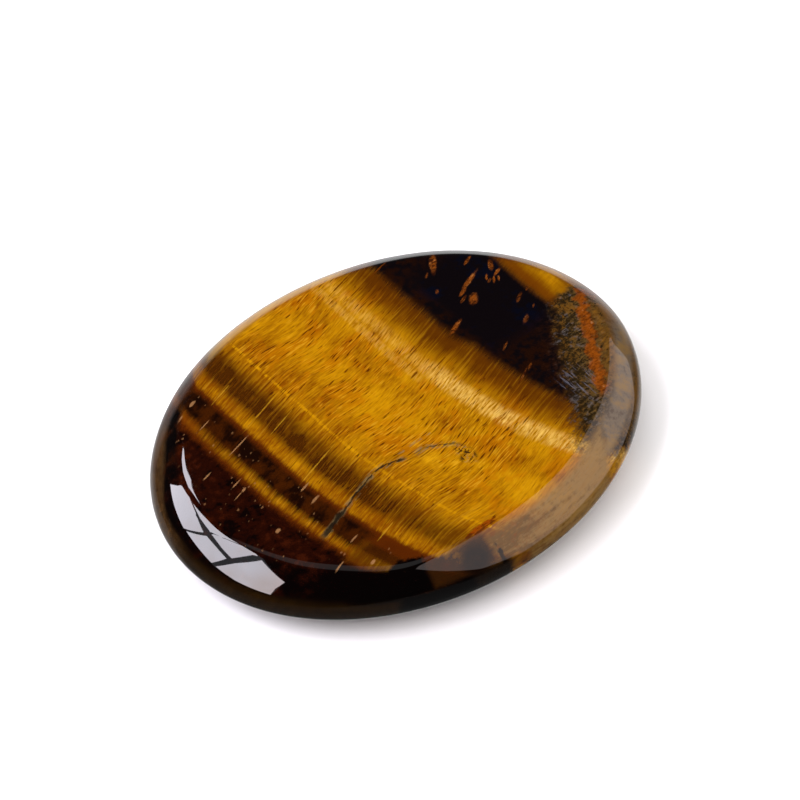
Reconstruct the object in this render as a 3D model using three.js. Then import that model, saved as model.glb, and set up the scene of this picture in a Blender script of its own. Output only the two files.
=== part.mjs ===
// A polished oval palm stone, cut and polished from one piece of banded tiger's eye.
// It lies on a small flat spot under a softly domed underside. Its side swells to a round girdle,
// a convex bevel runs up from the girdle to a low crease, and inside the crease is the polished face.
// Millimetres, +Z up. The origin is the middle of the flat spot, and the stone is longest along X.
import * as THREE from "three";

const LENGTH = 45;
const WIDTH = 35;
const UNDERSIDE_DEPTH = 3.2; // from the girdle down to the flat spot
const FACE_HEIGHT = 3.1; // from the girdle up to the crease
const FACE_CROWN = 0.25; // the polished face is this much higher in its middle
const FACE_INSET = 2.7; // from the outline in to the crease, seen from above
const REST_SPOT = 11; // half length of the flat spot
const GIRDLE_RADIUS = 1.85;
const GIRDLE_DOWN = THREE.MathUtils.degToRad(-50); // where the girdle's round meets the underside
const GIRDLE_UP = THREE.MathUtils.degToRad(42); // and where it meets the bevel
const BEVEL_FULLNESS = 0.7; // 0 is a flat bevel, 1 one that bends evenly all the way up
const CREASE_ROUND = 0.4; // the crease is eased over this width on each side

// Places where the bevel was ground a little less or more than elsewhere, so that the crease
// wanders off the even oval: degrees around from +X, millimetres outwards, and the degrees it spreads.
const GRINDING_MARKS = [
  { at: 239, outwards: 0.8, spread: 14 },
  { at: 198, outwards: -0.25, spread: 12 },
  { at: 118, outwards: 0.45, spread: 25 },
  { at: 303, outwards: -0.2, spread: 11 },
  { at: 347, outwards: 0.35, spread: 15 },
];

const SEGMENTS_AROUND = 104;

const halfLength = LENGTH / 2;
const halfWidth = WIDTH / 2;
const faceLength = halfLength - FACE_INSET; // half length inside the crease
const faceWidth = halfWidth - FACE_INSET;
const girdleZ = UNDERSIDE_DEPTH;
const creaseZ = girdleZ + FACE_HEIGHT;

const point = (r, z) => new THREE.Vector2(r, z);
const girdlePoint = (slope) =>
  point(
    halfLength - GIRDLE_RADIUS * (1 - Math.cos(slope)),
    girdleZ + GIRDLE_RADIUS * Math.sin(slope),
  );

// The section along the long axis, from the middle of the flat spot out, up and in to the middle
// of the polished face.
function section() {
  const under = girdlePoint(GIRDLE_DOWN);
  const shoulderRun = under.y * Math.tan(-GIRDLE_DOWN);
  const underside = new THREE.QuadraticBezierCurve(
    point(REST_SPOT, 0),
    point(under.x - shoulderRun, 0),
    under,
  );

  const girdle = new THREE.EllipseCurve(
    halfLength - GIRDLE_RADIUS,
    girdleZ,
    GIRDLE_RADIUS,
    GIRDLE_RADIUS,
    GIRDLE_DOWN,
    GIRDLE_UP,
  );

  const bevelFoot = girdlePoint(GIRDLE_UP);
  const crease = point(faceLength, creaseZ);
  const bulge = BEVEL_FULLNESS * 0.5 * bevelFoot.distanceTo(crease);
  const bevelBow = point(
    bevelFoot.x - bulge * Math.sin(GIRDLE_UP),
    bevelFoot.y + bulge * Math.cos(GIRDLE_UP),
  );
  const bevelRise = crease.clone().sub(bevelBow).normalize();
  const bevelTop = crease.clone().addScaledVector(bevelRise, -CREASE_ROUND);
  const bevel = new THREE.QuadraticBezierCurve(bevelFoot, bevelBow, bevelTop);

  const faceEdge = point(faceLength - CREASE_ROUND, creaseZ);
  const easedCrease = new THREE.QuadraticBezierCurve(bevelTop, crease, faceEdge);
  const face = new THREE.QuadraticBezierCurve(
    faceEdge,
    point(faceLength / 2, creaseZ + FACE_CROWN),
    point(0, creaseZ + FACE_CROWN),
  );

  return [
    point(0, 0),
    ...underside.getPoints(10),
    ...girdle.getPoints(10).slice(1),
    ...bevel.getPoints(5).slice(1),
    ...easedCrease.getPoints(3).slice(1),
    ...face.getPoints(7).slice(1),
  ];
}

// How far across the stone a ring reaches that reaches r along it: the same distance inside the
// outline on the bevel and the girdle, and in proportion inside the crease.
const across = (r) =>
  r > faceLength ? r - (halfLength - halfWidth) : (r * faceWidth) / faceLength;

// How far the crease has wandered outwards at an angle around the stone.
function wander(angle) {
  const degrees = THREE.MathUtils.radToDeg(angle);
  return GRINDING_MARKS.reduce((sum, mark) => {
    const away = THREE.MathUtils.euclideanModulo(degrees - mark.at + 180, 360) - 180;
    return sum + mark.outwards * Math.exp(-((away / mark.spread) ** 2));
  }, 0);
}

// The share of that wander which a ring takes: all of it at the crease, none at the girdle or the
// middle of the face, and none on the underside.
function wanderShare(r, z) {
  if (z <= girdleZ) return 0;
  return r > faceLength
    ? THREE.MathUtils.smoothstep(z, girdleZ, creaseZ)
    : THREE.MathUtils.smoothstep(r, 0, faceLength);
}

// A lathe makes the stone round, and each ring is then pressed to its oval and stood upright.
function stoneGeometry() {
  const geometry = new THREE.LatheGeometry(section(), SEGMENTS_AROUND);
  const position = geometry.getAttribute("position");
  for (let i = 0; i < position.count; i++) {
    const x = position.getX(i);
    const height = position.getY(i);
    const y = -position.getZ(i);
    const r = Math.hypot(x, y);
    const angle = Math.atan2(y, x);
    const shift = wander(angle) * wanderShare(r, height);
    position.setXYZ(
      i,
      (r + shift) * Math.cos(angle),
      (across(r) + shift) * Math.sin(angle),
      height,
    );
  }
  geometry.deleteAttribute("normal");
  geometry.computeVertexNormals();
  return geometry;
}

const tigersEye = new THREE.MeshStandardMaterial({
  color: 0x9a6410,
  roughness: 0.08,
  metalness: 0,
});

const stone = new THREE.Mesh(stoneGeometry(), tigersEye);
stone.name = "stone";

const palmStone = new THREE.Group();
palmStone.add(stone);

export default palmStone;
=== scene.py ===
import math

import bmesh
import bpy
from mathutils import Matrix, Vector, noise


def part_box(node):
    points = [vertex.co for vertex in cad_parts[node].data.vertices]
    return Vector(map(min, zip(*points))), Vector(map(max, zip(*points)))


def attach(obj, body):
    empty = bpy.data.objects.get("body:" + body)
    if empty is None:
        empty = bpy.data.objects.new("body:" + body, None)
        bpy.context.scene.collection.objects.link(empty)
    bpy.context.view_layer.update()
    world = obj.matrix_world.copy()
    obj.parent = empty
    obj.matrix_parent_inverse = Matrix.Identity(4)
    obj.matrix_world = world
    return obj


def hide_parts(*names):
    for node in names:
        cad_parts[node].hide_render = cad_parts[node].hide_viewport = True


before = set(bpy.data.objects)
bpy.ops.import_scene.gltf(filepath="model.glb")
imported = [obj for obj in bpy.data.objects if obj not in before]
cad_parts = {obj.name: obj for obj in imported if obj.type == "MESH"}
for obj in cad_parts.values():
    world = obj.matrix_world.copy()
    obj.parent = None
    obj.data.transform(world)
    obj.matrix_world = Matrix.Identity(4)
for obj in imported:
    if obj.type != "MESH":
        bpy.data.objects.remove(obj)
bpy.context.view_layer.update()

# Camera
# The stone is seen from 49 degrees above and half a metre away, in a telephoto view.
# Its long axis is turned 41 degrees from the picture's width, rising to the right.
scene = bpy.context.scene
MM = 0.001
GIRDLE_HEIGHT = 3.2 * MM
VIEW_HEADING = math.radians(41.09)
VIEW_ELEVATION = math.radians(49)
VIEW_DISTANCE = 500 * MM
AIM_RIGHT = 0.22 * MM  # the picture's middle is this far to the right of the stone's
AIM_UP = 2.56 * MM
SENSOR_WIDTH = 36  # this and the focal length are in millimetres, as the camera takes them
FOCAL_LENGTH = 270
NEAREST_SEEN = 50 * MM
FARTHEST_SEEN = 20_000 * MM
middle = Vector((0, 0, GIRDLE_HEIGHT))


def from_stone(azimuth, elevation):
    """The direction from the stone to something, its azimuth counted clockwise from straight ahead."""
    bearing = azimuth + VIEW_HEADING
    flat = math.cos(elevation)
    return Vector((math.sin(bearing) * flat, math.cos(bearing) * flat, math.sin(elevation)))


to_camera = from_stone(math.pi, VIEW_ELEVATION)
picture_right = from_stone(math.radians(90), 0)
picture_up = to_camera.cross(picture_right)
aim = middle + AIM_RIGHT * picture_right + AIM_UP * picture_up
lens = bpy.data.cameras.new("camera")
lens.sensor_width = SENSOR_WIDTH
lens.lens = FOCAL_LENGTH
lens.clip_start = NEAREST_SEEN
lens.clip_end = FARTHEST_SEEN
camera = bpy.data.objects.new("camera", lens)
camera.location = middle + VIEW_DISTANCE * to_camera
camera.rotation_mode = "QUATERNION"
camera.rotation_quaternion = (aim - camera.location).to_track_quat("-Z", "Y")
scene.collection.objects.link(camera)
scene.camera = camera

# Stone
# One piece of banded tiger's eye, ground to an oval and polished all over. Its section is spun into a
# round stone, pressed to the oval, and given the slight unevenness of grinding by hand.
HALF_LENGTH = 22.5 * MM
HALF_WIDTH = 17.5 * MM
FACE_HEIGHT = 3.1 * MM  # from the girdle up to the crease
FACE_INSET = 2.7 * MM  # from the outline in to the crease
REST_SPOT = 11 * MM  # half length of the flat spot
GIRDLE_RADIUS = 1.85 * MM
GIRDLE_DOWN = math.radians(-50)  # where the girdle's round meets the underside
GIRDLE_UP = math.radians(42)  # and where it meets the bevel
BEVEL_FULLNESS = 0.7  # 0 is a flat bevel, 1 one that bends evenly all the way up
CREASE_ROUND = 0.4 * MM
UNEVENNESS = 0.012 * MM
UNEVEN_WAVE = 5 * MM
REST_EDGE_HEIGHT = 0.3 * MM  # the unevenness fades out below this, so that the flat spot stays flat
REST_STEPS = 12
GIRDLE_STEPS = 28
STEPS_AROUND = 400
face_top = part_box("stone")[1].z
crease_height = GIRDLE_HEIGHT + FACE_HEIGHT
face_half = HALF_LENGTH - FACE_INSET
face_share = (HALF_WIDTH - FACE_INSET) / face_half

# Degrees around from +X, millimetres outwards and degrees of spread of what the grinding left.
GRINDING_MARKS = [(239, 0.8, 14), (198, -0.25, 12), (118, 0.45, 25), (303, -0.2, 11), (347, 0.35, 15)]


def curve(start, corner, end, steps):
    """Points after the start of a curve that leaves and arrives along the lines to its corner."""
    points = []
    for i in range(1, steps + 1):
        t = i / steps
        points.append(start.lerp(corner, t).lerp(corner.lerp(end, t), t))
    return points


def girdle_point(slope):
    reach = HALF_LENGTH - GIRDLE_RADIUS * (1 - math.cos(slope))
    return Vector((reach, 0, GIRDLE_HEIGHT + GIRDLE_RADIUS * math.sin(slope)))


def stone_section():
    """The section from the middle of the flat spot out, up and in to the middle of the face."""
    rest_edge = Vector((REST_SPOT, 0, 0))
    points = [rest_edge * (i / REST_STEPS) for i in range(REST_STEPS + 1)]
    under = girdle_point(GIRDLE_DOWN)
    shoulder = Vector((under.x - under.z * math.tan(-GIRDLE_DOWN), 0, 0))
    points += curve(rest_edge, shoulder, under, steps=36)
    for i in range(1, GIRDLE_STEPS + 1):
        points.append(girdle_point(GIRDLE_DOWN + (GIRDLE_UP - GIRDLE_DOWN) * i / GIRDLE_STEPS))

    foot = points[-1]
    crease = Vector((face_half, 0, crease_height))
    bulge = BEVEL_FULLNESS / 2 * (crease - foot).length
    bow = foot + bulge * Vector((-math.sin(GIRDLE_UP), 0, math.cos(GIRDLE_UP)))
    bevel_top = crease - CREASE_ROUND * (crease - bow).normalized()
    points += curve(foot, bow, bevel_top, steps=20)
    face_edge = Vector((face_half - CREASE_ROUND, 0, crease_height))
    points += curve(bevel_top, crease, face_edge, steps=8)
    points += curve(face_edge, Vector((face_half / 2, 0, face_top)), Vector((0, 0, face_top)), steps=78)
    return points


def crease_wander(angle):
    """How far the crease has wandered outwards at an angle around the stone."""
    total = 0
    for at, outwards, spread in GRINDING_MARKS:
        away = (math.degrees(angle) - at + 180) % 360 - 180
        total += outwards * MM * math.exp(-((away / spread) ** 2))
    return total


def smooth(value, start, end):
    t = min(max((value - start) / (end - start), 0), 1)
    return t * t * (3 - 2 * t)


def wander_share(reach, height):
    """All of the wander at the crease, none at the girdle, in the middle or on the underside."""
    if height <= GIRDLE_HEIGHT:
        return 0
    if reach > face_half:
        return smooth(height, GIRDLE_HEIGHT, crease_height)
    return smooth(reach, 0, face_half)


shape = bmesh.new()
profile = [shape.verts.new(point) for point in stone_section()]
edges = [shape.edges.new(pair) for pair in zip(profile, profile[1:])]
bmesh.ops.spin(
    shape, geom=profile + edges, cent=(0, 0, 0), axis=(0, 0, 1), dvec=(0, 0, 0),
    angle=2 * math.pi, steps=STEPS_AROUND, use_merge=True,
)
bmesh.ops.remove_doubles(shape, verts=shape.verts, dist=1e-7)
bmesh.ops.recalc_face_normals(shape, faces=shape.faces)
for vert in shape.verts:
    reach = vert.co.xy.length
    angle = math.atan2(vert.co.y, vert.co.x)
    shift = crease_wander(angle) * wander_share(reach, vert.co.z)
    width = reach - (HALF_LENGTH - HALF_WIDTH) if reach > face_half else reach * face_share
    vert.co.x = (reach + shift) * math.cos(angle)
    vert.co.y = (width + shift) * math.sin(angle)
shape.normal_update()
for vert in shape.verts:
    above_rest = smooth(vert.co.z, 0, REST_EDGE_HEIGHT)
    hollow = UNEVENNESS * (0.5 + 0.5 * noise.noise(vert.co / UNEVEN_WAVE)) * above_rest
    vert.co -= hollow * vert.normal
for face in shape.faces:
    face.smooth = True

mesh = bpy.data.meshes.new("tigers_eye_stone")
shape.to_mesh(mesh)
shape.free()
stone = bpy.data.objects.new("tigers_eye_stone", mesh)
scene.collection.objects.link(stone)


class Field:
    """Something that changes from place to place: a socket of a shader node, with its arithmetic."""

    tree = None

    def __init__(self, socket):
        self.socket = socket

    @classmethod
    def node(cls, kind, settings=(), sockets=(), out=0):
        node = cls.tree.nodes.new(kind)
        for name, value in dict(settings).items():
            setattr(node, name, value)
        for name, value in dict(sockets).items():
            if isinstance(value, Field):
                cls.tree.links.new(value.socket, node.inputs[name])
            else:
                node.inputs[name].default_value = value
        return cls(node.outputs[out]) if node.outputs else None

    @classmethod
    def math(cls, operation, *values):
        return cls.node("ShaderNodeMath", {"operation": operation}, enumerate(values))

    def __add__(self, other):
        return self.math("ADD", self, other)

    __radd__ = __add__

    def __sub__(self, other):
        return self.math("SUBTRACT", self, other)

    def __rsub__(self, other):
        return self.math("SUBTRACT", other, self)

    def __mul__(self, other):
        return self.math("MULTIPLY", self, other)

    __rmul__ = __mul__

    def __or__(self, other):
        """The larger of the two, which joins two masks."""
        return self.math("MAXIMUM", self, other)

    def __abs__(self):
        return self.math("ABSOLUTE", self)


def start_material(name):
    """An empty material, to which the nodes made after it belong."""
    material = bpy.data.materials.new(name)
    material.use_nodes = True
    material.node_tree.nodes.clear()
    Field.tree = material.node_tree
    return material


def finish_material(sockets):
    surface = Field.node("ShaderNodeBsdfPrincipled", sockets=sockets)
    Field.node("ShaderNodeOutputMaterial", sockets={"Surface": surface})


def fade(value, start, end):
    """0 where the value is at its start, 1 where it is at its end, and smooth between."""
    return Field.node(
        "ShaderNodeMapRange",
        {"interpolation_type": "SMOOTHSTEP", "clamp": False},
        {"Value": value, "From Min": start, "From Max": end},
    )


def between(value, start, end, soft):
    """1 from start to end, easing off outside over a soft edge."""
    return fade(value, start - soft, start) * fade(value, end + soft, end)


def space(x, y, z):
    return Field.node("ShaderNodeCombineXYZ", sockets={"X": x, "Y": y, "Z": z})


def cloud(place, per_mm, detail=2, roughness=0.5):
    """Noise about zero, between -0.5 and 0.5, with a number of waves a millimetre along each axis."""
    stretched = Field.node("ShaderNodeVectorMath", {"operation": "MULTIPLY"}, {0: place, 1: per_mm})
    wave = Field.node(
        "ShaderNodeTexNoise",
        sockets={"Vector": stretched, "Scale": 1, "Detail": detail, "Roughness": roughness},
    )
    return wave - 0.5


def mineral(red, green, blue):
    """The reflectance of a mineral that shows this colour, 0 to 255, in the light of the window."""
    in_this_light = 0.588
    glint = 0.0025  # what the polish adds
    linear = [((c / 255 + 0.055) / 1.055) ** 2.4 if c > 10 else c / 255 / 12.92 for c in (red, green, blue)]
    return (*[in_this_light * max(c - glint, 0) for c in linear], 1)


def paint(under, over, mask):
    """One colour with another over it where the mask is 1. The sockets of a Mix node go by number."""
    return Field.node("ShaderNodeMix", {"data_type": "RGBA"}, {0: mask, 6: under, 7: over}, out=2)


# How the stone is built up: its layers stand across it, lean towards +X under the face and bend that way at
# the near side. The pattern is laid out in millimetres, x along the stone, y across it and z up from the
# flat spot, and its layers are counted along x where they meet the middle of the face.
LEAN = 1.1
BEND_START = 2
BEND = 0.0125
BEND_GAIN = 0.0003  # the bend grows by this for each millimetre towards +X
FACE_TOP = 6.5
stone_finish = start_material("tigers_eye")
stone.data.materials.append(stone_finish)
object_place = Field.node("ShaderNodeTexCoord", out="Object")
place = Field.node("ShaderNodeVectorMath", {"operation": "SCALE"}, {0: object_place, "Scale": 1 / MM})
x, y, z = [Field.node("ShaderNodeSeparateXYZ", sockets={"Vector": place}, out=axis) for axis in "XYZ"]
wobble = 0.3 * cloud(place, (0.13, 0.13, 0.13)) + 0.15 * cloud(place, (0.6, 0.6, 0.6))
bent = (BEND_START - y) | 0
along = x - LEAN * (FACE_TOP - z) + wobble
layer = along - (BEND + BEND_GAIN * along) * bent * bent

# Fibres cross the layers along the stone. They rise to the right at either end, and run level near the
# middle. Every edge in the pattern is frayed a little by them.
FIBRE_RISE = 0.3
LEVEL_PART = 0.85
FRAYING = 0.06
rise = FIBRE_RISE * x - LEVEL_PART * Field.math("TANH", 0.375 * x + 1.1)
row = y - rise + 0.4 * cloud(place, (0.25, 0.25, 0.25))
thread = space(x, row, z)
fine = cloud(thread, (0.8, 5.4, 2.6), 2, 0.8)
lines = cloud(thread, (0.1, 4.4, 2.0), 2, 0.7) + 0.4 * fine
dash_wave = cloud(thread, (0.9, 8.0, 4.0), 0)
bevel_streaks = cloud(space(layer, y, z), (0.25, 0.5, 3.2), 3, 0.7)
leaves = cloud(space(layer, y, z), (0.6, 0.2, 0.4), 2, 0.6)

# Clouds from the widest to the smallest, for patches, blotches and ragged edges.
haze = cloud(place, (0.22, 0.3, 0.3), 3)
soft = cloud(place, (0.35, 0.5, 0.5), 2)
clots = cloud(place, (0.45, 0.6, 0.6), 3, 0.6)
mottle = cloud(place, (0.9, 1.1, 1.1), 3, 0.6)
ragged = cloud(place, (1.6, 1.6, 1.6), 3, 0.6)
shards = cloud(place, (1.8, 1.8, 1.8), 4, 0.75)
x, y, z, along, layer = [value + FRAYING * fine for value in (x, y, z, along, layer)]
combed = layer + 0.3 * fine + 0.25 * lines

# The wide gold is silky fibres all through. A painted sheen makes some of its layers and two bands across it
# brighter, as where the fibres catch the light. It is also brighter in some patches, more orange in others,
# and full of thin brown and straw-coloured threads, which show most at its two sides.
# Like every colour after it, each is laid over the ones before where its mask of places lets it show.
UMBER = mineral(140, 78, 6)
GOLD = mineral(219, 156, 14)
STRAW = mineral(238, 182, 44)
ORANGE_GOLD = mineral(184, 98, 8)
THREAD_BROWN = mineral(106, 52, 5)
# Painted sheen: brighter layers and bands, where the fibres catch the light.
painted_glow = 0.24 * between(layer, -2.6, -0.6, 1.5) | 0.16 * between(layer, 2.7, 5.4, 1.1)
dim_left = 0.1 * fade(layer, -3.8, -5.2) + 0.08 * fade(layer, -6, -8)
sheen = 0.1 * (between(y, -1.5, 1, 4) | between(y, -14, -12, 2))
crowd = haze + 0.9 * mottle + 0.12 * between(y, -9, -4, 2) * between(x, -3, 4, 2)
crowd = crowd - 0.1 * fade(layer, -6, -12) - 0.2 * fade(y, -10, -12)
crowded = fade(crowd, -0.06, 0.12)
silk = 0.38 + painted_glow - dim_left + sheen + 0.9 * soft + 0.5 * mottle + 1.9 * fine
silk = silk - (0.35 + 0.45 * crowded) * dash_wave
colour = paint(UMBER, GOLD, silk)
orange_place = fade(haze + 0.6 * mottle + 0.4 * fine, -0.04, 0.12) * fade(layer, -7, -5)
colour = paint(colour, ORANGE_GOLD, 0.45 * orange_place)
threaded = 0.35 + 0.65 * (fade(layer, -3.5, -7) | fade(layer, 4.5, 6.5))
colour = paint(colour, THREAD_BROWN, 0.6 * threaded * fade(lines, 0.03, 0.2))
colour = paint(colour, STRAW, 0.3 * threaded * fade(lines, -0.04, -0.22))

# A streaky brown band lies left of the wide gold. It is lighter at the near side, and a thin bright line
# runs along where it meets the gold.
BROWN = mineral(76, 39, 5)
BAND_LEFT = -10.6
BAND_RIGHT = -6.4
BRIGHT_LINE = -6.22
band = fade(layer + 0.3 * fine, BAND_LEFT, BAND_LEFT + 1.3)
band = band * fade(layer + 0.5 * fine, BAND_RIGHT, BAND_RIGHT - 2.1)
streaky = 0.9 + 0.9 * between(y, -7, -4, 2)
near_light = 0.3 * fade(y, -6, -10)
band_brown = 0.98 + 0.1 * fade(y, 5, 9) - near_light + 1.1 * clots + streaky * lines + 0.8 * fine
colour = paint(colour, BROWN, band * band_brown)
bright_line = between(layer + 0.25 * fade(y, -7, -13), BRIGHT_LINE, BRIGHT_LINE + 0.12, 0.14)
colour = paint(colour, GOLD, bright_line * (0.38 + 2.5 * fine + 2.5 * mottle))

# Further left come a dark band with a rusty edge, a thin dull gold stripe, and red-brown stone out to the
# end. At the near side the band and stripe turn brown, and at the far side they turn rusty.
FLAT_BROWN = mineral(70, 35, 5)
RUST_RIM = mineral(92, 40, 6)
ORANGE_RUST = mineral(128, 62, 9)
BAND_BROWN = mineral(64, 29, 6)
RED_BROWN = mineral(38, 14, 7)
DEEP_RED = mineral(62, 24, 11)
BLACK_BROWN = mineral(12, 7, 5)
DARK_BAND_RIGHT = -11.35
DARK_BAND_LEFT = -14.5
RED_STONE_RIGHT = -14.75
stripe_side = fade(layer, -12, -13)
dull = 0.24 + 0.3 * fade(y, 2, 6)
colour = paint(colour, BROWN, stripe_side * (dull + 0.9 * lines + 0.9 * clots))
near_end = fade(y + 0.8 * ragged, -8.8, -10.2)
far_end = fade(y + 1.2 * mottle, 7.8, 9.6)
colour = paint(colour, ORANGE_RUST, 0.6 * far_end * stripe_side)
near_brown = paint(FLAT_BROWN, BAND_BROWN, 0.5 + 2.0 * clots + 1.5 * fine)
near_place = near_end * fade(layer, -11.2, -12.1) * (1 - 0.3 * between(layer, -15, -14, 0.5))
colour = paint(colour, near_brown, near_place)
colour = paint(colour, RUST_RIM, fade(combed, -11.0, -11.55) * fade(layer, -13.0, -12.4))
band_stone = paint(BAND_BROWN, BLACK_BROWN, 0.85 * fade(clots + 0.15 * ragged + 0.3 * fine, -0.12, 0.1))
dark_band = fade(combed, DARK_BAND_RIGHT, DARK_BAND_RIGHT - 0.75)
dark_band = dark_band * fade(combed, DARK_BAND_LEFT, DARK_BAND_LEFT + 1) * (1 - 0.8 * near_end)
colour = paint(colour, band_stone, dark_band)
blotch = clots + 0.8 * ragged
red_stone = paint(RED_BROWN, DEEP_RED, 0.8 * fade(blotch, -0.04, -0.25))
red_stone = paint(red_stone, BLACK_BROWN, 0.9 * fade(blotch, -0.02, 0.2) | 0.8 * fade(y, -7, -11))
red_side = fade(combed + 0.4 * near_end + 0.8 * mottle, RED_STONE_RIGHT, RED_STONE_RIGHT - 0.9)
colour = paint(colour, RUST_RIM, fade(combed, -14.4, -15.1) * (1 - 0.6 * near_end))
colour = paint(colour, red_stone, red_side)
colour = paint(colour, RUST_RIM, 0.5 * far_end * fade(layer, -14.6, -15.2) * fade(blotch, 0.04, -0.14))

# Right of the middle, pale streaks are a painted sheen: the glow where the fibres catch the light, laid into
# the colour. Past them the gold darkens to brown before the near-black patch.
PALE_GOLD_SHEEN = mineral(255, 210, 104)
SHADE_BROWN = mineral(96, 51, 7)
STREAK_LEFT = 3.5
STREAK_RIGHT = 6.0
SHADE_LEFT = 4.9
far_side = fade(y, 0.5, 3)
narrow_sheen = between(combed, STREAK_LEFT - 0.4, STREAK_LEFT, 0.4) * fade(y, 0, 3)
wide_sheen = fade(combed, STREAK_LEFT, STREAK_LEFT + 0.9)
wide_sheen = wide_sheen * fade(combed + 0.5 * far_side, STREAK_RIGHT, STREAK_RIGHT - 0.9)
glowing = (0.12 + 0.26 * fade(y, 3, -1)) * (1 + 6.0 * fine + 3.0 * lines)
# Painted sheen: pale gold streaks where the fibres catch the light.
colour = paint(colour, PALE_GOLD_SHEEN, (narrow_sheen | wide_sheen) * glowing)
shade = fade(combed + 0.6 * far_side, SHADE_LEFT, SHADE_LEFT + 3.5)
colour = paint(colour, SHADE_BROWN, shade * (0.98 + 1.5 * lines + 0.6 * clots))

# Short dark dashes run along the fibres in the gold, crowded in places, with painted glints between them
# where the fibres beside the gaps catch the light. The dark dashes are tiny gaps in the silk, so they are
# sunk a little too.
DASH_BROWN = mineral(78, 38, 6)
dashed = fade(layer, -11.5, -10.5) * fade(layer, 9, 7.5)
dashes = fade(dash_wave, 0.15, 0.24)
colour = paint(colour, DASH_BROWN, dashed * (0.2 + 0.65 * crowded) * dashes)
# Painted glints: straw-coloured light beside the dark dashes.
painted_glint_dashes = fade(dash_wave, -0.1, -0.22) * fade(layer, -6.6, -5.6) * fade(layer, 5.6, 4.6)
colour = paint(colour, STRAW, painted_glint_dashes * (0.08 + 0.35 * crowded))

# The near-black patch is solid stone with blue-black clouds and, near its edges, a little brown. A sliver
# of gold comes after it at the far side.
NEAR_BLACK = mineral(17, 13, 15)
BLUE_BLACK = mineral(13, 14, 24)
PATCH_BROWN = mineral(34, 17, 11)
PATCH_LEFT = 8.4
SLIVER_LEFT = 16.5
patch_stone = paint(NEAR_BLACK, BLUE_BLACK, fade(haze + 0.5 * ragged, 0.0, 0.15) * fade(y, -3, 0))
patch_brown = fade(y + 3 * clots, 0.5, -2.5) | fade(layer, 10.5, 9) | fade(y, 9, 12)
patch_stone = paint(patch_stone, PATCH_BROWN, patch_brown * fade(clots + ragged, -0.15, 0.1))
patch = fade(layer + 0.75 * far_side + 0.5 * fine + 0.3 * mottle, PATCH_LEFT, PATCH_LEFT + 1.35)
colour = paint(colour, patch_stone, patch)
sliver = fade(layer + 0.4 * fine, SLIVER_LEFT, SLIVER_LEFT + 1)
sliver_gold = paint(UMBER, GOLD, 0.55 + 1.2 * soft + fine + cloud(place, (2.2, 0.12, 0.5), 2))
sliver_gold = paint(sliver_gold, THREAD_BROWN, 0.9 * fade(layer, 19.4, 17.6) | 0.6 * fade(y, 2.4, 1.0))
colour = paint(colour, sliver_gold, sliver)

# At the right end is gritty olive stone with grey and ochre grains in it. It cuts the layers off at a
# slant, and its grit is scattered a little way into the patch.
OLIVE = mineral(104, 80, 42)
OLIVE_DARK = mineral(42, 32, 18)
OCHRE = mineral(138, 92, 30)
SLATE = mineral(106, 104, 108)
GRIT_BROWN = mineral(58, 32, 20)
OLIVE_TURN = math.radians(33.3)  # the slant of its edge, seen from above
OLIVE_LEAN = 1.85
OLIVE_START = 14.1
tangle_place = Field.node(
    "ShaderNodeMapping", {"vector_type": "POINT"},
    {"Vector": place, "Rotation": (0, 0, math.radians(-35)), "Scale": (1.6, 4.2, 3.0)},
)
tangle = Field.node(
    "ShaderNodeTexNoise",
    sockets={"Vector": tangle_place, "Scale": 1, "Detail": 4, "Roughness": 0.75, "Distortion": 0.5},
)
past_olive_edge = math.cos(OLIVE_TURN) * (x - OLIVE_LEAN * (FACE_TOP - z) + wobble)
past_olive_edge = past_olive_edge - math.sin(OLIVE_TURN) * y - OLIVE_START
gritty = fade(past_olive_edge + 3.0 * ragged, -1.8, 0.2) * fade(y + 1.6 * ragged, -0.4, -1.6)
colour = paint(colour, GRIT_BROWN, 0.7 * gritty * fade(tangle, 0.45, 0.62))
olive_mask = fade(past_olive_edge + 2.6 * ragged + 1.5 * clots, -0.8, 0.9)
olive_mask = olive_mask * fade(y + 1.6 * ragged, 0.9, 0.1)
olive_light = fade(tangle + 0.6 * shards - 0.12 * fade(past_olive_edge, 2.5, 0), 0.34, 0.72)
olive = paint(OLIVE_DARK, OLIVE, olive_light)
olive = paint(olive, OCHRE, (0.35 + 0.3 * fade(y, -6, -2)) * fade(shards + 0.6 * clots, -0.02, 0.2))
olive = paint(olive, SLATE, 0.45 * fade(ragged - 0.6 * clots, 0.05, 0.17) * fade(tangle, 0.42, 0.56))

# An orange-brown vein with pale grains in it crosses the olive stone. There is more ochre beyond it, and
# fine blue-grey needles stand in the stone near its lower end. It leans as the layers do, but is straight.
VEIN = mineral(156, 78, 16)
VEIN_DARK = mineral(92, 44, 12)
VEIN_PALE = mineral(196, 140, 92)
BLUE_GREY = mineral(126, 126, 140)
VEIN_TURN = math.radians(32.2)
VEIN_START = 16.95
past_vein = math.cos(VEIN_TURN) * along - math.sin(VEIN_TURN) * y - VEIN_START
past_vein = past_vein + 1.2 * ragged + 1.6 * mottle
beyond_vein = fade(past_vein - 0.6 * ragged, 0.3, 1.2)
olive = paint(olive, OCHRE, beyond_vein * (0.4 + 1.6 * fine + 1.5 * ragged))
colour = paint(colour, olive, olive_mask)
far_right = fade(z, 6.2, 5.8) * beyond_vein * fade(y, -8, -5)
colour = paint(colour, OCHRE, far_right * (0.75 + 1.5 * shards))


def away_from(centre, reach, within=place):
    """How far it is from the middle of a small place, 1 at its edge."""
    scale = [1 / r for r in reach]
    offset = [-c / r for c, r in zip(centre, reach)]
    local = Field.node(
        "ShaderNodeVectorMath", {"operation": "MULTIPLY_ADD"}, {0: within, 1: scale, 2: offset}
    )
    return Field.node("ShaderNodeVectorMath", {"operation": "LENGTH"}, {0: local}, out="Value")


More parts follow.
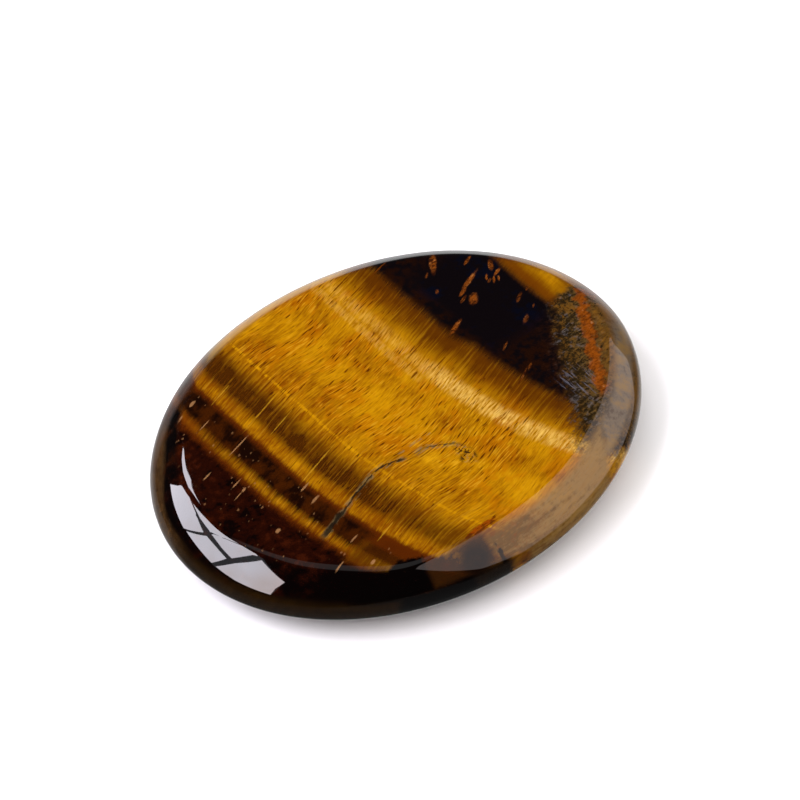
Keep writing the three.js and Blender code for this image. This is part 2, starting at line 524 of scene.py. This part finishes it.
needles = cloud(place, (4.6, 0.5, 0.9), 2, 0.6)
needle_place = fade(away_from((13.1, -7.9, 0), (1.8, 2.0, 1), space(along, y, 0)) + 1.4 * ragged, 1.15, 0.5)
colour = paint(colour, BLUE_GREY, 0.45 * (needle_place * fade(needles, 0.02, 0.14)))
vein_run = fade(y, 1.2, -0.2) * fade(y, -10.6, -9.6)
vein = between(past_vein, -0.15, 0.2, 0.5) * vein_run * fade(shards, -0.3, -0.12)
vein_stone = paint(VEIN_DARK, VEIN, fade(tangle + 0.5 * shards, 0.3, 0.62))
vein_stone = paint(vein_stone, VEIN_PALE, 0.7 * fade(shards, 0.12, 0.2))
colour = paint(colour, vein_stone, 0.9 * vein)

# On the bevel and girdle the grinding cuts other layers: beige-brown on the right, near-black on the left,
# with a little brown and dull gold low on the girdle.
BEVEL_BROWN = mineral(112, 80, 34)
BEVEL_BEIGE = mineral(158, 122, 66)
DARK_UMBER = mineral(58, 33, 13)
MAUVE = mineral(122, 106, 86)
GIRDLE_BROWN = mineral(48, 32, 13)
GIRDLE_GOLD = mineral(80, 56, 30)
on_bevel = fade(z, 6.24, 5.7)
near_right = fade(x - 3 * fade(z, 4.9, 3.9), -4.2, -3.2) * fade(y, -7, -9.5)
bevel_stone = paint(BEVEL_BROWN, BEVEL_BEIGE, fade(x, -5, 8) + 3.2 * bevel_streaks + ragged + 2.2 * shards)
bevel_stone = paint(bevel_stone, ORANGE_RUST, 0.5 * fade(ragged, 0.06, 0.14) * fade(x, 2, -2))
near_right_bevel = on_bevel * near_right * (0.9 + 1.2 * fine) * fade(x - 0.6 * y, 19.5, 18.5)
colour = paint(colour, bevel_stone, near_right_bevel)
mauve_side = on_bevel * fade(z, 4.5, 5.0) * fade(x - 0.6 * y + 2 * clots, 18.5, 19.5) * fade(y, -3, -5.5)
mauve_stone = paint(MAUVE, BEVEL_BEIGE, 0.8 * fade(leaves + 0.6 * shards, -0.1, 0.15))
mauve_stone = paint(mauve_stone, DARK_UMBER, 0.6 * fade(leaves + 1.2 * shards, -0.06, -0.4))
colour = paint(colour, mauve_stone, mauve_side)
right_girdle = fade(z, 5.0, 4.4) * fade(x, 13, 16) * fade(y, 0, -3)
colour = paint(colour, BEVEL_BROWN, right_girdle * (0.6 + 1.5 * ragged + shards))
far_bevel = on_bevel * fade(y, 6, 9)
colour = paint(colour, BROWN, 0.35 * far_bevel * fade(layer, -7, -10))
colour = paint(colour, STRAW, 0.4 * far_bevel * between(layer, -8, 5, 2))
left_bevel = fade(z, 6.3, 5.9) * fade(x, -12, -14) * (1 - fade(y, 8.5, 10) * fade(z, 5.4, 4.9))
colour = paint(colour, BLACK_BROWN, left_bevel * (0.95 + 1.5 * clots + ragged))
left_girdle = fade(z, 4.6, 3.8) * fade(x, -8, -12)
colour = paint(colour, GIRDLE_BROWN, left_girdle * (0.7 + 1.5 * ragged))
girdle_gold = fade(z - 0.8 * fade(y, 4, 9), 4.7, 4.2) * fade(x, -14, -16) * fade(y, 0, 4)
colour = paint(colour, GIRDLE_GOLD, girdle_gold * (0.7 + 2 * ragged))

# Near-black stone runs along the near crease and bevel, with brown between its two dark places. A rusty
# lip lies on the crease beside it, and one patch of painted sheen brightens the gold behind.
GIRDLE_DARK = mineral(32, 22, 13)
LIP_RUST = mineral(150, 66, 12)
SHEEN_GOLD = mineral(240, 176, 22)
near_bevel = fade(z, 6.3, 6.0) * fade(y, -7.5, -10.5)
colour = paint(colour, DARK_UMBER, near_bevel * between(x, -9.6, -4.2, 0.8) * (0.9 + 1.5 * ragged))
near_mass = near_bevel * between(x, -15.5, -9.8, 0.7) * fade(z, 3.7, 4.5)
near_mass = near_mass | near_bevel * fade(z, 4.7, 4.1) * between(x, -12, -6.5, 0.9)
corner = fade(away_from((-11.4, -14.0, 6.2), (2.2, 1.3, 1.5)) + 0.8 * ragged, 1.15, 0.85)
dark_spot = fade(away_from((-5.4, -15.9, 5.1), (1.5, 1.3, 1.5)) + 0.8 * ragged, 1.3, 0.5)
near_girdle = near_bevel * fade(z, 4.7, 4.1) * between(x, -7, -3, 1.2)
colour = paint(colour, GIRDLE_DARK, near_girdle)
colour = paint(colour, BLACK_BROWN, near_mass | corner | 0.9 * dark_spot)
bevel_crack = fade(away_from((-3.2, -16.7, 4.7), (0.2, 1.0, 0.9)) + 2.5 * ragged, 1.3, 0.5)
colour = paint(colour, BLACK_BROWN, 0.9 * bevel_crack)
rust_lip = fade(away_from((-3.4, -14.35, 6.35), (1.7, 0.3, 0.5)) + 1.2 * ragged + 1.5 * fine, 1.15, 0.75)
lip_stone = paint(RUST_RIM, LIP_RUST, fade(ragged + fine, -0.1, 0.06))
colour = paint(colour, lip_stone, 0.9 * rust_lip)
warm_place = fade(away_from((-6.3, -13.6, 6.4), (1.5, 0.6, 0.6)) + ragged, 1.3, 0.4)
colour = paint(colour, SHADE_BROWN, 0.6 * warm_place)
# Painted sheen: a bright patch in the gold, where the fibres catch the light.
painted_sheen_patch = fade(away_from((-1.8, -6.2, 6.5), (1.0, 0.65, 0.6)) + 0.6 * ragged, 1.2, 0.3)
colour = paint(colour, SHEEN_GOLD, 0.6 * painted_sheen_patch * (1 + 2.5 * fine))

# A dark crack wanders across the near side, with a branch, a faint run between them and a few pits.
# It is open at the surface, so the polish is missing there. Its edges, the faint run and the pits' rims are
# painted pale, as glints where the broken edges catch the light.
CRACK_DARK = mineral(30, 26, 20)
CRACK_GLINT = mineral(136, 120, 80)
CRACK_Y = -4.25
BRANCH_Y = -5.05
FAINT_Y = -4.1
crack_wander = 0.4 * ragged + 0.4 * cloud(place, (0.5, 0.5, 0.5))
sinking = 0.33 * ((-6.3 - x) | 0) + 0.3 * ((x + 5.2) | 0)
off_crack = abs(y - CRACK_Y + sinking + crack_wander)
crack_run = fade(x, -14.3, -13.5) * fade(x, -3.0, -3.8)
off_branch = abs(y - BRANCH_Y + 0.55 * ((x + 1.4) | 0) + crack_wander)
branch_run = fade(x, -2.7, -2.0) * fade(x, 1.3, 0.7)
crack_width = 0.06 + 0.12 * fade(x, -10.3, -11.5) + 0.25 * mottle + 0.6 * fine
crack = fade(off_crack - crack_width, 0.09, -0.02) * crack_run
branch = fade(off_branch - 0.5 * fine, 0.15, 0.03) * branch_run * (0.7 + 1.5 * mottle)
off_faint = abs(y - FAINT_Y + crack_wander)
crack_glints = fade(off_crack, 0.42, 0.14) * crack_run | fade(off_branch, 0.5, 0.15) * branch_run
crack_glints = fade(off_faint, 0.2, 0.05) * between(x, -3.4, -0.2, 0.4) | crack_glints
# Painted glints along the crack's edges and the faint run.
colour = paint(colour, CRACK_GLINT, 0.6 * crack_glints * fade(ragged + fine, -0.1, 0.12))
pitted = fade(away_from((0.7, -7.7, 6.5), (0.8, 1.4, 0.6)) + 1.2 * ragged, 1.15, 0.6)
# Painted glints round the pits.
colour = paint(colour, CRACK_GLINT, 0.6 * pitted * fade(shards, -0.02, -0.12))
pits = pitted * fade(shards + 0.4 * fine, 0.0, 0.08)
cracks = crack | branch | pits
colour = paint(colour, CRACK_DARK, 0.9 * cracks)


def marks(places, turn, unevenness):
    """Where any of some small marks in the face is: middle x and y, half length and half width."""
    slope = math.tan(math.radians(turn))
    aside = y - slope * x
    found = 0
    for middle_x, middle_y, half_long, half_wide in places:
        off_end = Field.math("MULTIPLY_ADD", x, 1 / half_long, -middle_x / half_long)
        off_side = Field.math("MULTIPLY_ADD", aside, 1 / half_wide, (slope * middle_x - middle_y) / half_wide)
        away = Field.math("MULTIPLY_ADD", off_side, off_side, off_end * off_end)
        found = fade(away + unevenness, MARK_EDGE, MARK_CORE) | found
    return found * on_face


# A few longer gaps lie open between the fibres, and a few single fibres are paler than the rest.
# Both follow the fibres, rising a little to the right.
MARK_EDGE = 2.0  # how far out a mark begins, as the square of its own size
MARK_CORE = 0.25
on_face = fade(z, 5.9, 6.2)
LONG_GAPS = [
    (-7.2, 8.7, 1.45, 0.07), (-9.3, 6.75, 1.9, 0.06), (-6.8, 6.7, 0.5, 0.06), (5.4, 13.5, 1.6, 0.08),
    (9.0, 12.7, 1.1, 0.07), (-0.9, 10.0, 0.6, 0.07), (-0.8, 5.6, 0.3, 0.09), (2.1, -0.7, 0.4, 0.08),
    (3.1, 1.5, 0.55, 0.09), (3.2, -8.0, 0.6, 0.08), (1.3, -4.4, 0.5, 0.07), (5.2, 3.6, 1.1, 0.06),
    (5.9, 1.2, 1.2, 0.05), (-4.7, 6.7, 0.5, 0.06), (-2.6, 5.4, 0.45, 0.06),
]
LIGHT_THREADS = [
    (-8.7, 6.95, 2.2, 0.06), (-9.0, -0.5, 2.0, 0.06), (-10.2, 10.6, 1.0, 0.06), (-8.4, 4.9, 1.2, 0.05),
    (-9.6, -9.6, 0.9, 0.06),
]
colour = paint(colour, THREAD_BROWN, 0.9 * marks(LONG_GAPS, turn=14, unevenness=4 * ragged))
colour = paint(colour, STRAW, 0.4 * marks(LIGHT_THREADS, turn=16, unevenness=4 * ragged + fine))

# Tan strokes lie along the fibres in the dark stone on the left, with small round specks among them.
TAN = mineral(176, 128, 82)
TAN_STROKES = [
    (-12.7, 5.3, 1.2, 0.05), (-11.6, -1.75, 0.5, 0.08), (-11.8, -3.3, 0.5, 0.11), (-12.1, -8.5, 0.4, 0.07),
    (-15.6, 2.25, 0.55, 0.06), (-16.3, 1.15, 0.45, 0.06), (-15.5, 1.35, 0.25, 0.1), (-16.8, 4.5, 0.5, 0.07),
    (-14.4, 10.9, 0.4, 0.12), (-12.6, 11.4, 0.35, 0.12), (-13.4, 8.9, 0.5, 0.05), (-12.5, -11.35, 0.25, 0.13),
    (-13.1, -13.75, 0.55, 0.1), (-14.9, -9.9, 0.5, 0.08), (-16.2, -3.8, 0.25, 0.15),
]
colour = paint(colour, TAN, 0.7 * marks(TAN_STROKES, turn=14, unevenness=4 * ragged))
speck_place = Field.node("ShaderNodeVectorMath", {"operation": "MULTIPLY"}, {0: thread, 1: (1.4, 2.4, 1.8)})
speck_cells = Field.node("ShaderNodeTexVoronoi", sockets={"Vector": speck_place, "Scale": 1, "Randomness": 1})
specks = fade(speck_cells + 0.9 * ragged, 0.2, 0.06) * fade(clots, -0.02, 0.08) * fade(layer, -11.6, -12.2)
colour = paint(colour, TAN, 0.35 * (specks * on_face))

# Rusty grains and flakes are scattered in the near-black patch. Some lie along the fibres, some stand
# steeper, and the dim ones are a little way under the surface.
RUST = mineral(146, 76, 22)
RUST_DARK = mineral(66, 30, 12)
RUST_PALE = mineral(190, 118, 56)
RUST_FLECKS = [
    (13.9, 6.65, 1.0, 0.2), (12.5, 5.95, 0.45, 0.16), (12.0, 5.3, 0.35, 0.11), (12.7, 4.75, 0.48, 0.38),
    (15.1, 5.5, 0.22, 0.1), (16.3, 5.85, 0.45, 0.15), (15.3, 8.5, 0.5, 0.13), (9.3, 3.3, 0.75, 0.2),
    (9.8, 3.5, 0.3, 0.15),
]
STEEP_FLECKS = [
    (16.4, 6.8, 0.35, 0.3), (15.2, 5.95, 0.24, 0.14), (15.5, 5.35, 0.24, 0.14), (15.9, 5.2, 0.18, 0.12),
    (12.9, 10.2, 0.7, 0.4),
]
DIM_FLECKS = [
    (11.1, -1.0, 0.4, 0.1), (14.5, 0.2, 0.45, 0.2), (15.7, 2.4, 0.45, 0.16), (9.9, -4.5, 0.9, 0.09),
    (11.2, -4.0, 0.35, 0.12), (10.9, 7.4, 0.2, 0.16), (17.0, 2.8, 0.3, 0.1), (11.5, 9.4, 0.26, 0.12),
    (16.0, 0.9, 0.16, 0.1),
]
rust_grain = paint(RUST_DARK, RUST, fade(tangle + ragged, 0.32, 0.6))
rust_grain = paint(rust_grain, RUST_PALE, 0.8 * fade(shards + fine, 0.08, 0.2))
flecks = marks(RUST_FLECKS, turn=21, unevenness=4 * ragged)
rusty = flecks | marks(STEEP_FLECKS, turn=45, unevenness=4 * ragged)
colour = paint(colour, rust_grain, 0.9 * rusty)
colour = paint(colour, rust_grain, 0.5 * marks(DIM_FLECKS, turn=28, unevenness=4 * ragged))

# The polish is a clear glossy surface, missing in the cracks. Under it the fibres are silky, with a broad
# sheen of their own that is duller in the dark stone on the left, and the dashes are slightly sunk.
STONE_IOR = 1.54
fibre_bump = Field.node(
    "ShaderNodeBump", sockets={"Strength": 0.35, "Distance": 0.05 * MM, "Height": fine - 0.4 * dashes}
)
finish_material({
    "Base Color": colour,
    "Metallic": 0.3,
    "Roughness": 0.38 + 0.12 * fade(layer, -11, -13.8),
    "IOR": STONE_IOR,
    "Specular IOR Level": 0,
    "Normal": fibre_bump,
    "Coat Weight": 1 - 0.7 * cracks,
    "Coat Roughness": 0.02,
    "Coat IOR": STONE_IOR,
})
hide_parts("stone")
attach(stone, "root")

# Floor
# A pale sheet of paper, far larger than the view. The polish doesn't mirror it.
FLOOR_REACH = 4
sheet = bmesh.new()
bmesh.ops.create_grid(sheet, x_segments=1, y_segments=1, size=FLOOR_REACH)
floor_mesh = bpy.data.meshes.new("floor")
sheet.to_mesh(floor_mesh)
sheet.free()
floor = bpy.data.objects.new("floor", floor_mesh)
scene.collection.objects.link(floor)
floor.visible_glossy = False
floor_mesh.materials.append(start_material("pale_paper"))
finish_material({"Base Color": (0.8, 0.8, 0.8, 1), "Roughness": 0.9})

# Window
# It stands to the left and has six panes, one of them high and narrow, with pale sky behind the glass and
# a dim grey frame. The frame is painted light: it glows dimly, standing in for a frame lit by the room.
# Its panes and frame are flat sheets, the frame just behind the panes.
LIGHT_DISTANCE = 1.0
WINDOW_RADIANCE = 11.5
LAVENDER_SKY = (0.93, 0.90, 1.0, 1)
WARM_SKY = (0.82, 0.71, 0.72, 1)
FRAME_RADIANCE = 0.55
FRAME_GREY = (0.86, 0.92, 1.0, 1)
FRAME_BEHIND = 0.01
window_way = from_stone(math.radians(-100), math.radians(35))
window_turn = window_way.to_track_quat("Z", "Y")
window_right = window_turn @ Vector((1, 0, 0))
window_place = Matrix.Translation(middle + LIGHT_DISTANCE * window_way) @ window_turn.to_matrix().to_4x4()

# Corners of each pane as seen from the stone, in metres: to the right and up from the window's middle.
PANES = [
    [
        (-0.80, -0.31), (-0.28, -0.21), (-0.12, 0.00), (-0.31, -0.03), (-0.58, 0.22), (-0.59, 0.08),
        (-0.70, -0.19),
    ],
    [(-0.53, 0.27), (-0.27, 0.03), (-0.08, 0.06), (0.02, 0.18), (-0.04, 0.55), (-0.50, 0.55)],
    [(-0.24, -0.19), (0.17, -0.09), (0.21, 0.13), (-0.07, 0.02)],
    [(-0.05, 0.07), (0.12, 0.13), (0.23, 0.18), (0.29, 0.36), (0.02, 0.52), (0.03, 0.20)],
    [(0.22, -0.07), (0.35, -0.02), (0.87, 0.01), (0.66, 0.27), (0.61, 0.40), (0.32, 0.36), (0.27, 0.18)],
    [
        (-0.93, 0.54), (-1.08, 0.66), (-1.35, 1.10), (-1.52, 1.42), (-1.52, 1.54), (-1.36, 1.42),
        (-1.05, 0.98), (-0.9, 0.72),
    ],
]
FRAME = [
    (-0.80, -0.31), (0.22, -0.09), (0.35, -0.02), (0.87, 0.01), (0.61, 0.40), (0.29, 0.37), (0.01, 0.54),
    (-0.51, 0.56), (-0.58, 0.22), (-0.59, 0.08), (-0.70, -0.19),
]


def window_sheet(name, outlines, behind, finish):
    """Flat sheets in one plane of the window, each inside its outline."""
    sheets = bmesh.new()
    for outline in outlines:
        sheets.faces.new([sheets.verts.new((right, up, behind)) for right, up in outline])
    sheets.transform(window_place)
    sheets_mesh = bpy.data.meshes.new(name)
    sheets.to_mesh(sheets_mesh)
    sheets.free()
    sheets_mesh.materials.append(finish)
    sheets_object = bpy.data.objects.new(name, sheets_mesh)
    scene.collection.objects.link(sheets_object)
    return sheets_object


def finish_glowing(colour, radiance):
    finish_material({
        "Base Color": (0, 0, 0, 1),
        "Specular IOR Level": 0,
        "Emission Color": colour,
        "Emission Strength": radiance,
    })


def how_far(vector, direction):
    """How far a place lies in a direction, or how nearly a way points there."""
    return Field.node(
        "ShaderNodeVectorMath", {"operation": "DOT_PRODUCT"}, {0: vector, 1: direction}, out="Value"
    )


daylight = start_material("daylight")
glass_place = Field.node("ShaderNodeTexCoord", out="Object")
outside = cloud(glass_place, (5, 5, 5), 1)
warm_side = fade(how_far(glass_place, window_right), -0.1, 0.9) + 1.2 * outside
finish_glowing(paint(LAVENDER_SKY, WARM_SKY, warm_side), WINDOW_RADIANCE)
window = window_sheet("window", PANES, 0, daylight)
# Painted light: the frame glows dim grey, standing in for a frame lit by the room.
frame_glow = start_material("frame_glow")
finish_glowing(FRAME_GREY, FRAME_RADIANCE)
window_bars = window_sheet("window_bars", [FRAME], FRAME_BEHIND, frame_glow)

# Lights
# A large dim panel stands to the right, and shows as a veil in the near bevel. A wide soft light overhead
# only fills the shadows: the polish doesn't mirror it.
PANEL_RADIANCE = 1.1
PANEL_TINT = (1, 0.88, 0.87)
PANEL_WIDTH = 1.7
PANEL_HEIGHT = 1.25
FILL_RADIANCE = 1.2
FILL_SIZE = 3
panel_way = from_stone(math.radians(82), math.radians(32))


def flat_light(name, way, width, height, radiance, tint):
    light = bpy.data.lights.new(name, "AREA")
    light.shape = "RECTANGLE"
    light.size = width
    light.size_y = height
    light.energy = math.pi * radiance * width * height
    light.color = tint
    lamp = bpy.data.objects.new(name, light)
    lamp.rotation_mode = "QUATERNION"
    lamp.rotation_quaternion = way.to_track_quat("Z", "Y")
    lamp.location = middle + LIGHT_DISTANCE * way
    scene.collection.objects.link(lamp)
    return lamp


flat_light("side_panel", panel_way, PANEL_WIDTH, PANEL_HEIGHT, PANEL_RADIANCE, PANEL_TINT)
fill = flat_light("overhead_fill", Vector((0, 0, 1)), FILL_SIZE, FILL_SIZE, FILL_RADIANCE, (1, 1, 1))
fill.visible_glossy = False

# Room
# The camera sees pale paper all round. The polish sees a dark room, a dim ceiling straight overhead,
# and a table top that is lighter to the left and far behind the stone.
DARK_ROOM = 0.02
DARK_TABLE = 0.09
room = bpy.data.worlds.new("room")
room.use_nodes = True
room.node_tree.nodes.clear()
scene.world = room
Field.tree = room.node_tree

# Around a room the first texture coordinate is the way in which it is looked at.
way = Field.node("ShaderNodeTexCoord")
up = how_far(way, (0, 0, 1))
ahead = how_far(way, from_stone(0, 0))
left = how_far(way, from_stone(math.radians(-90), 0))
behind_glow = 0.7 * fade(ahead, 0.2, 0.6) * fade(up, -0.05, -0.5)
left_glow = 0.35 * fade(left, 0.15, 0.45) * fade(ahead, 0.0, 0.3)
table_glow = (behind_glow | left_glow | DARK_TABLE) * fade(up, -0.04, -0.2)
ceiling_glow = 0.35 * fade(up, 0.9, 0.95)
dim_room = table_glow | ceiling_glow | DARK_ROOM
seen = Field.node("ShaderNodeLightPath", out="Is Camera Ray")
brightness = dim_room * (1 - seen) + seen
shown = Field.node("ShaderNodeBackground", sockets={"Color": (1, 1, 1, 1), "Strength": brightness})
Field.node("ShaderNodeOutputWorld", sockets={"Surface": shown})
scene.view_settings.view_transform = "Standard"
